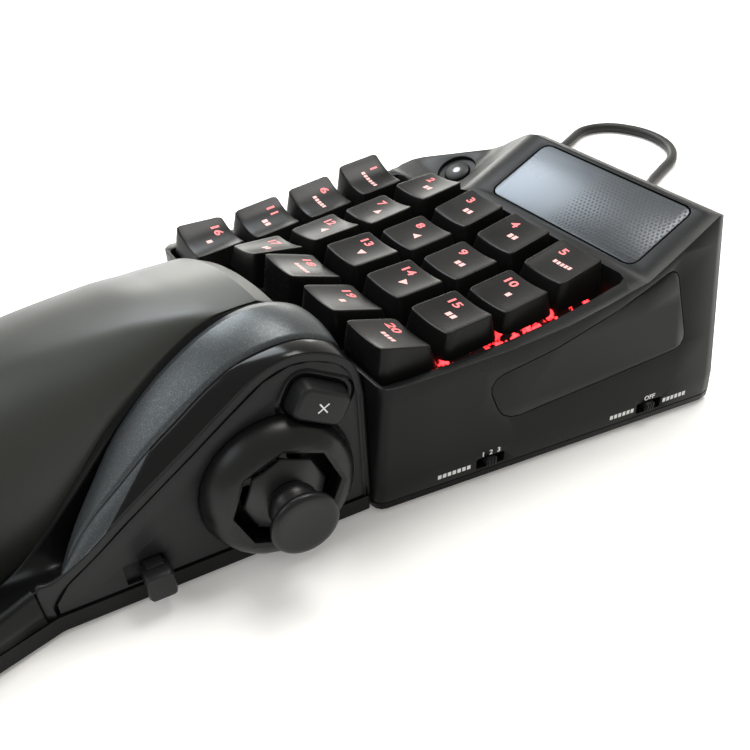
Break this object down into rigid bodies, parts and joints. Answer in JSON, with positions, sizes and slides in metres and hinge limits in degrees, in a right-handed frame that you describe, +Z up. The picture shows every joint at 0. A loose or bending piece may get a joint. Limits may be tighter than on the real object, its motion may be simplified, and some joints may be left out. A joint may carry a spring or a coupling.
{
  "type": "gaming keypad",
  "caption": "Left-hand gaming keypad: mechanical key field, clicking touchpad, sliding palm rest with a thumb stick, button and lock lever, coiled USB cable.",
  "frame": {"origin": "middle of the base of the whole part's box, on the surface that it stands on", "axes": "+Y away from the user along the key columns, +X to the user's right, +Z up"},
  "size_m": [0.1671, 0.3877, 0.0574],
  "materials": {
    "key_black": "satin black, doubleshot legends lit red",
    "black_plastic": "fine-grained satin black",
    "black_gloss": "high gloss black",
    "metallic_grey": "blue-grey metallic paint, satin",
    "palm_grey": "soft-touch coat",
    "touchpad_grey": "satin with fine dots",
    "switch_red": "translucent red, lit",
    "steel": "plain",
    "black_rubber": "matt",
    "cable_grey": "smooth jacket"
  },
  "bodies": {
    "key_unit": {"bottom_case": "black_plastic", "top_case": "black_plastic", "side_panel": "black_gloss", "key_plate": "black_plastic", "switch_board": "switch_red", "key_unit_foot_1": "black_rubber", "key_unit_foot_2": "black_rubber", "key_unit_foot_3": "black_rubber", "key_unit_foot_4": "black_rubber", "strain_relief": "black_rubber", "cable": "cable_grey", "cable_coil": "cable_grey", "cable_tail": "cable_grey", "usb_plug_body": "black_rubber", "usb_plug_shell": "steel"},
    "key_01": {"keycap_01": "key_black"},
    "key_02": {"keycap_02": "key_black"},
    "key_03": {"keycap_03": "key_black"},
    "key_04": {"keycap_04": "key_black"},
    "key_05": {"keycap_05": "key_black"},
    "key_06": {"keycap_06": "key_black"},
    "key_07": {"keycap_07": "key_black"},
    "key_08": {"keycap_08": "key_black"},
    "key_09": {"keycap_09": "key_black"},
    "key_10": {"keycap_10": "key_black"},
    "key_11": {"keycap_11": "key_black"},
    "key_12": {"keycap_12": "key_black"},
    "key_13": {"keycap_13": "key_black"},
    "key_14": {"keycap_14": "key_black"},
    "key_15": {"keycap_15": "key_black"},
    "key_16": {"keycap_16": "key_black"},
    "key_17": {"keycap_17": "key_black"},
    "key_18": {"keycap_18": "key_black"},
    "key_19": {"keycap_19": "key_black"},
    "key_20": {"keycap_20": "key_black"},
    "touchpad": {"touchpad": "touchpad_grey"},
    "home_button": {"home_button": "black_gloss"},
    "profile_slider": {"profile_slider": "black_plastic"},
    "mode_slider": {"mode_slider": "black_plastic"},
    "palm_unit": {"palm_base": "black_plastic", "palm_rest_pad": "palm_grey", "channel_trim": "black_gloss", "front_skirt": "metallic_grey", "thumb_shell": "metallic_grey", "gloss_trim": "black_gloss", "thumb_plate": "black_plastic", "stick_collar": "black_plastic", "stick_gimbal": "black_plastic", "palm_unit_foot_1": "black_rubber", "palm_unit_foot_2": "black_rubber", "palm_unit_foot_3": "black_rubber", "palm_unit_foot_4": "black_rubber", "palm_unit_foot_5": "black_rubber"},
    "thumb_button": {"thumb_button": "black_plastic"},
    "lock_lever": {"lock_lever": "black_plastic"},
    "stick_yoke": {"stick_yoke": "steel"},
    "thumb_stick": {"stick_shaft": "steel", "stick_skirt": "metallic_grey", "stick_cap": "black_rubber"}
  },
  "joints": [
    {"name": "key_01_press", "type": "slide", "parent": "key_unit", "child": "key_01", "axis": [0, 0, -1], "range_m": [0, 0.0032], "stiffness_N_per_m": 150, "springref_m": -0.002},
    {"name": "key_02_press", "type": "slide", "parent": "key_unit", "child": "key_02", "axis": [0, 0, -1], "range_m": [0, 0.0032], "stiffness_N_per_m": 150, "springref_m": -0.002},
    {"name": "key_03_press", "type": "slide", "parent": "key_unit", "child": "key_03", "axis": [0, 0, -1], "range_m": [0, 0.0032], "stiffness_N_per_m": 150, "springref_m": -0.002},
    {"name": "key_04_press", "type": "slide", "parent": "key_unit", "child": "key_04", "axis": [0, 0, -1], "range_m": [0, 0.0032], "stiffness_N_per_m": 150, "springref_m": -0.002},
    {"name": "key_05_press", "type": "slide", "parent": "key_unit", "child": "key_05", "axis": [0, 0, -1], "range_m": [0, 0.0032], "stiffness_N_per_m": 150, "springref_m": -0.002},
    {"name": "key_06_press", "type": "slide", "parent": "key_unit", "child": "key_06", "axis": [0, 0, -1], "range_m": [0, 0.0032], "stiffness_N_per_m": 150, "springref_m": -0.002},
    {"name": "key_07_press", "type": "slide", "parent": "key_unit", "child": "key_07", "axis": [0, 0, -1], "range_m": [0, 0.0032], "stiffness_N_per_m": 150, "springref_m": -0.002},
    {"name": "key_08_press", "type": "slide", "parent": "key_unit", "child": "key_08", "axis": [0, 0, -1], "range_m": [0, 0.0032], "stiffness_N_per_m": 150, "springref_m": -0.002},
    {"name": "key_09_press", "type": "slide", "parent": "key_unit", "child": "key_09", "axis": [0, 0, -1], "range_m": [0, 0.0032], "stiffness_N_per_m": 150, "springref_m": -0.002},
    {"name": "key_10_press", "type": "slide", "parent": "key_unit", "child": "key_10", "axis": [0, 0, -1], "range_m": [0, 0.0032], "stiffness_N_per_m": 150, "springref_m": -0.002},
    {"name": "key_11_press", "type": "slide", "parent": "key_unit", "child": "key_11", "axis": [0, 0, -1], "range_m": [0, 0.0032], "stiffness_N_per_m": 150, "springref_m": -0.002},
    {"name": "key_12_press", "type": "slide", "parent": "key_unit", "child": "key_12", "axis": [0, 0, -1], "range_m": [0, 0.0032], "stiffness_N_per_m": 150, "springref_m": -0.002},
    {"name": "key_13_press", "type": "slide", "parent": "key_unit", "child": "key_13", "axis": [0, 0, -1], "range_m": [0, 0.0032], "stiffness_N_per_m": 150, "springref_m": -0.002},
    {"name": "key_14_press", "type": "slide", "parent": "key_unit", "child": "key_14", "axis": [0, 0, -1], "range_m": [0, 0.0032], "stiffness_N_per_m": 150, "springref_m": -0.002},
    {"name": "key_15_press", "type": "slide", "parent": "key_unit", "child": "key_15", "axis": [0, 0, -1], "range_m": [0, 0.0032], "stiffness_N_per_m": 150, "springref_m": -0.002},
    {"name": "key_16_press", "type": "slide", "parent": "key_unit", "child": "key_16", "axis": [0, 0, -1], "range_m": [0, 0.0032], "stiffness_N_per_m": 150, "springref_m": -0.002},
    {"name": "key_17_press", "type": "slide", "parent": "key_unit", "child": "key_17", "axis": [0, 0, -1], "range_m": [0, 0.0032], "stiffness_N_per_m": 150, "springref_m": -0.002},
    {"name": "key_18_press", "type": "slide", "parent": "key_unit", "child": "key_18", "axis": [0, 0, -1], "range_m": [0, 0.0032], "stiffness_N_per_m": 150, "springref_m": -0.002},
    {"name": "key_19_press", "type": "slide", "parent": "key_unit", "child": "key_19", "axis": [0, 0, -1], "range_m": [0, 0.0032], "stiffness_N_per_m": 150, "springref_m": -0.002},
    {"name": "key_20_press", "type": "slide", "parent": "key_unit", "child": "key_20", "axis": [0, 0, -1], "range_m": [0, 0.0032], "stiffness_N_per_m": 150, "springref_m": -0.002},
    {"name": "touchpad_click", "type": "slide", "parent": "key_unit", "child": "touchpad", "axis": [0, 0.4027, -0.9153], "range_m": [0, 0.0004], "stiffness_N_per_m": 1500, "springref_m": -0.0003},
    {"name": "home_button_press", "type": "slide", "parent": "key_unit", "child": "home_button", "axis": [0, 0.4027, -0.9153], "range_m": [0, 0.0008], "stiffness_N_per_m": 700, "springref_m": -0.0004},
    {"name": "profile_slider_slide", "type": "slide", "parent": "key_unit", "child": "profile_slider", "axis": [0.1793, 0.9838, 0], "range_m": [-0.0024, 0.0024]},
    {"name": "mode_slider_slide", "type": "slide", "parent": "key_unit", "child": "mode_slider", "axis": [0.1793, 0.9838, 0], "range_m": [-0.0024, 0.0024]},
    {"name": "palm_slide", "type": "slide", "parent": "key_unit", "child": "palm_unit", "axis": [0, -1, 0], "range_m": [0, 0.018]},
    {"name": "thumb_button_press", "type": "slide", "parent": "palm_unit", "child": "thumb_button", "axis": [-0.9899, 0.1233, -0.0698], "range_m": [0, 0.0012], "stiffness_N_per_m": 500, "springref_m": -0.0008},
    {"name": "lock_lever_slide", "type": "slide", "parent": "palm_unit", "child": "lock_lever", "axis": [-0.1236, -0.9923, 0], "range_m": [0, 0.004]},
    {"name": "stick_tilt_up_down", "type": "hinge", "parent": "palm_unit", "child": "stick_yoke", "pos_m": [0.03079, -0.01908, 0.02008], "axis": [0.1236, 0.9923, 0], "range_deg": [-13, 13], "stiffness_Nm_per_rad": 0.08},
    {"name": "stick_tilt_left_right", "type": "hinge", "parent": "stick_yoke", "child": "thumb_stick", "pos_m": [0.03079, -0.01908, 0.02008], "axis": [-0.0692, 0.0086, 0.9976], "range_deg": [-13, 13], "stiffness_Nm_per_rad": 0.08}
  ]
}
